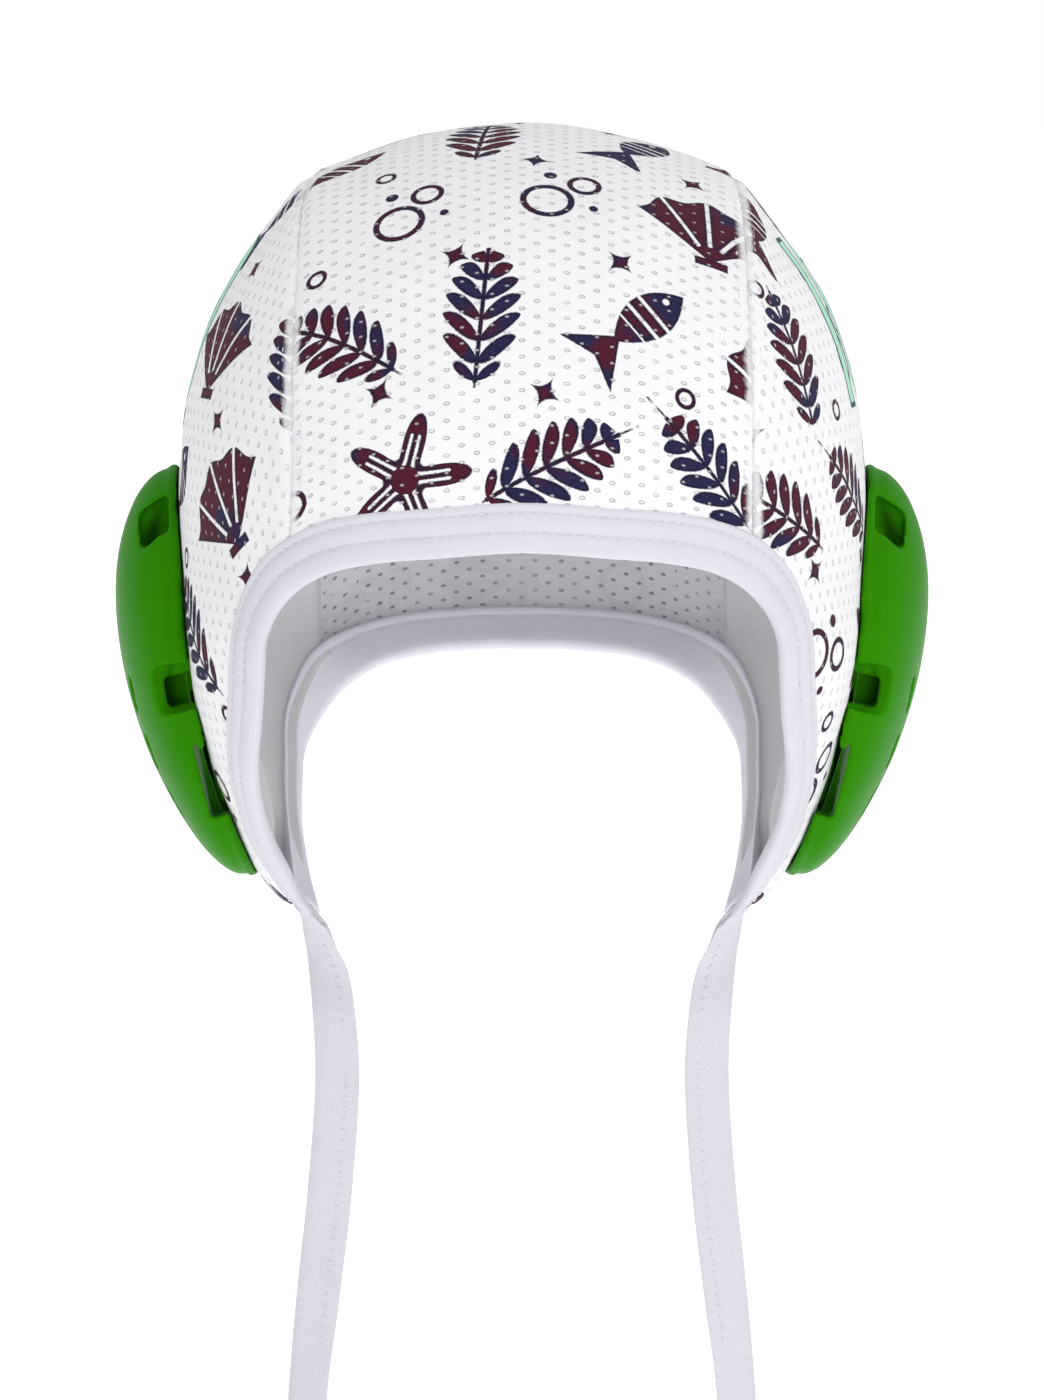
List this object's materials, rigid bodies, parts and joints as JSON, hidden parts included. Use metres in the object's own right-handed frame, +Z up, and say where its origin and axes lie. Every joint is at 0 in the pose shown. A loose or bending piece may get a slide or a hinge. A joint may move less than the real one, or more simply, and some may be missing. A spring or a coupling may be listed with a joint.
{
  "type": "water polo cap",
  "caption": "Close-fitting perforated cloth cap with bound face and neck openings, ear flaps with domed plastic ear guards, and tape ties hanging from the flap tips.",
  "frame": {"origin": "the inner top of the crown, where the wearer's head carries the cap", "axes": "+Z up, the wearer looks along -Y, +X on the right of someone who faces the cap"},
  "size_m": [0.2, 0.2026, 0.3273],
  "materials": {
    "printed_cloth": "white perforated polyester knit with scattered plum and navy motifs",
    "lining_cloth": "smooth pale grey knit",
    "binding_tape": "white folded stretch tape with two rows of stitching",
    "tie_tape": "white folded tape with one row of stitching",
    "guard_plastic": "green moulded plastic with a satin surface"
  },
  "bodies": {
    "root": {"center_panel": "printed_cloth", "side_panel_left": "printed_cloth", "side_panel_right": "printed_cloth", "side_lining_left": "lining_cloth", "side_lining_right": "lining_cloth", "face_binding": "binding_tape", "neck_binding": "binding_tape", "tie_left": "tie_tape", "tie_right": "tie_tape", "ear_guard_left": "guard_plastic", "ear_guard_right": "guard_plastic"}
  },
  "joints": []
}
